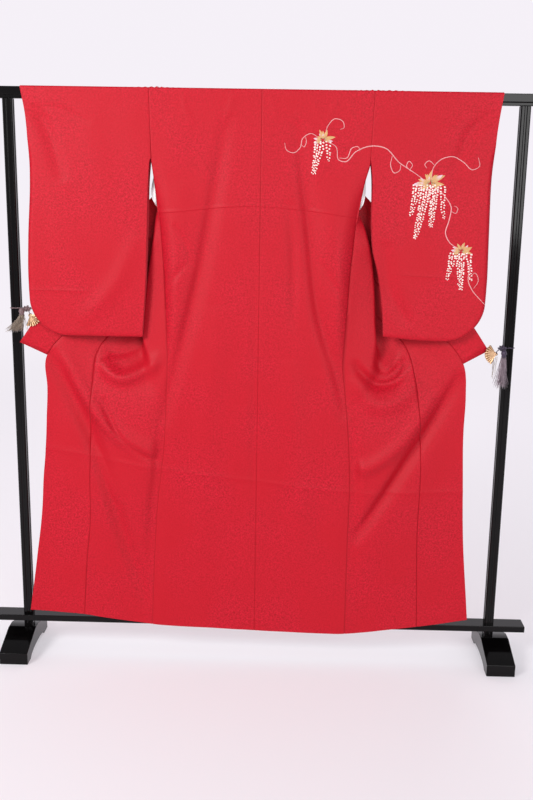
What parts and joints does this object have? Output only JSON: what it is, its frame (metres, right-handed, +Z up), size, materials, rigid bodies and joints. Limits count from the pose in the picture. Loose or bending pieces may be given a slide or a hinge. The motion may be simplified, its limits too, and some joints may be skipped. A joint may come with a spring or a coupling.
{
  "type": "kimono on kimono stand",
  "caption": "Lined long-sleeved kimono hung over the beam of a lacquered kimono stand, back to the front, fronts opened wide, each collar end held to its post by a fan-shaped clip.",
  "frame": {"origin": "on the floor, below the middle of the stand", "axes": "+Z up, +X to the right as the garment's back is seen, -Y towards the viewer of the back"},
  "size_m": [1.635, 0.254, 1.6844],
  "materials": {
    "red_crepe": "crinkled silk crepe, matt",
    "black_lacquer": "gloss lacquer",
    "gilt_metal": "polished gilt",
    "mauve_silk": "silk thread and cord",
    "beige_silk": "silk thread",
    "purple_cord": "braided silk cord"
  },
  "bodies": {
    "root": {"body_left": "red_crepe", "body_right": "red_crepe", "sleeve_left": "red_crepe", "sleeve_right": "red_crepe", "okumi_left": "red_crepe", "okumi_right": "red_crepe", "collar": "red_crepe", "over_collar": "red_crepe", "top_beam": "black_lacquer", "post_left": "black_lacquer", "post_right": "black_lacquer", "lower_board": "black_lacquer", "foot_left": "black_lacquer", "foot_right": "black_lacquer", "clip_left": "gilt_metal", "clip_right": "gilt_metal", "tie_left": "mauve_silk", "tie_right": "purple_cord", "tassel_left": "beige_silk", "tassel_right": "mauve_silk"}
  },
  "joints": []
}
